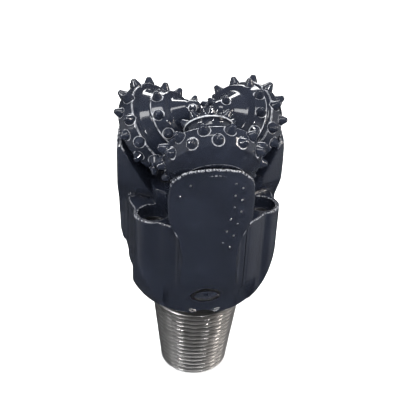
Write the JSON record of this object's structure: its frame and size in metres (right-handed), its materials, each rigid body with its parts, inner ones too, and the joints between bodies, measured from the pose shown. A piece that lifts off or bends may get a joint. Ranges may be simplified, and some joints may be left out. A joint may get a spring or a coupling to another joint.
{
  "type": "tricone drill bit",
  "caption": "Rolling-cutter rock bit: three toothed cones turn on angled journals above a jetted body, with a tapered threaded pin below.",
  "frame": {"origin": "centre of the pin's nose face", "axes": "+Z along the bit's axis from the pin to the cones; leg 1 faces -Y, and legs 2 and 3 follow counterclockwise seen from +Z"},
  "size_m": [0.1518, 0.1498, 0.288],
  "materials": {
    "body_paint": "gloss",
    "cone_paint": "gloss",
    "carbide": "gloss",
    "weld": "gloss",
    "bearing_steel": "ground",
    "bearing_bronze": "machined",
    "seal_rubber": "matte",
    "spring_steel": "satin",
    "cap_steel": "gloss",
    "nozzle_carbide": "satin"
  },
  "bodies": {
    "bit_body": {"leg_1": "body_paint", "ball_plug_1": "body_paint", "leg_buttons_1": "carbide", "nozzle_1": "nozzle_carbide", "reservoir_cap_1": "cap_steel", "reservoir_cup_1": "spring_steel", "reservoir_diaphragm_1": "seal_rubber", "leg_2": "body_paint", "ball_plug_2": "body_paint", "leg_buttons_2": "carbide", "nozzle_2": "nozzle_carbide", "reservoir_cap_2": "cap_steel", "reservoir_cup_2": "spring_steel", "reservoir_diaphragm_2": "seal_rubber", "leg_3": "body_paint", "ball_plug_3": "body_paint", "leg_buttons_3": "carbide", "nozzle_3": "nozzle_carbide", "reservoir_cap_3": "cap_steel", "reservoir_cup_3": "spring_steel", "reservoir_diaphragm_3": "seal_rubber", "leg_welds": "weld", "nozzle_o_rings": "seal_rubber", "nozzle_snap_rings": "spring_steel", "reservoir_o_rings": "seal_rubber", "reservoir_snap_rings": "spring_steel"},
    "cone_1": {"cone_1": "cone_paint", "heel_buttons_1": "carbide", "gage_inserts_1": "carbide", "outer_inserts_1": "carbide", "middle_inserts_1": "carbide", "nose_inserts_1": "carbide", "journal_bushing_1": "bearing_bronze", "pilot_bushing_1": "bearing_bronze", "thrust_washer_1": "bearing_bronze", "cone_seal_1": "seal_rubber"},
    "retaining_balls_1": {"retaining_balls_1": "bearing_steel"},
    "cone_2": {"cone_2": "cone_paint", "heel_buttons_2": "carbide", "gage_inserts_2": "carbide", "outer_inserts_2": "carbide", "middle_inserts_2": "carbide", "nose_inserts_2": "carbide", "journal_bushing_2": "bearing_bronze", "pilot_bushing_2": "bearing_bronze", "thrust_washer_2": "bearing_bronze", "cone_seal_2": "seal_rubber"},
    "retaining_balls_2": {"retaining_balls_2": "bearing_steel"},
    "cone_3": {"cone_3": "cone_paint", "heel_buttons_3": "carbide", "gage_inserts_3": "carbide", "outer_inserts_3": "carbide", "middle_inserts_3": "carbide", "nose_inserts_3": "carbide", "journal_bushing_3": "bearing_bronze", "pilot_bushing_3": "bearing_bronze", "thrust_washer_3": "bearing_bronze", "cone_seal_3": "seal_rubber"},
    "retaining_balls_3": {"retaining_balls_3": "bearing_steel"}
  },
  "joints": [
    {"name": "cone_1_spin", "type": "hinge", "parent": "bit_body", "child": "cone_1", "pos_m": [0.0015, -0.04005, 0.2479], "axis": [0, -0.809, -0.5878], "continuous": true},
    {"name": "balls_1_orbit", "type": "hinge", "parent": "bit_body", "child": "retaining_balls_1", "pos_m": [0.0015, -0.04005, 0.2479], "axis": [0, -0.809, -0.5878], "continuous": true},
    {"name": "cone_2_spin", "type": "hinge", "parent": "bit_body", "child": "cone_2", "pos_m": [0.03393, 0.02132, 0.2479], "axis": [0.7006, 0.4045, -0.5878], "continuous": true},
    {"name": "balls_2_orbit", "type": "hinge", "parent": "bit_body", "child": "retaining_balls_2", "pos_m": [0.03393, 0.02132, 0.2479], "axis": [0.7006, 0.4045, -0.5878], "continuous": true},
    {"name": "cone_3_spin", "type": "hinge", "parent": "bit_body", "child": "cone_3", "pos_m": [-0.03543, 0.01872, 0.2479], "axis": [-0.7006, 0.4045, -0.5878], "continuous": true},
    {"name": "balls_3_orbit", "type": "hinge", "parent": "bit_body", "child": "retaining_balls_3", "pos_m": [-0.03543, 0.01872, 0.2479], "axis": [-0.7006, 0.4045, -0.5878], "continuous": true}
  ],
  "couplings": [
    {"joint": "balls_1_orbit", "follows": "cone_1_spin", "ratio": 0.6103},
    {"joint": "balls_2_orbit", "follows": "cone_2_spin", "ratio": 0.6103},
    {"joint": "balls_3_orbit", "follows": "cone_3_spin", "ratio": 0.6103}
  ]
}
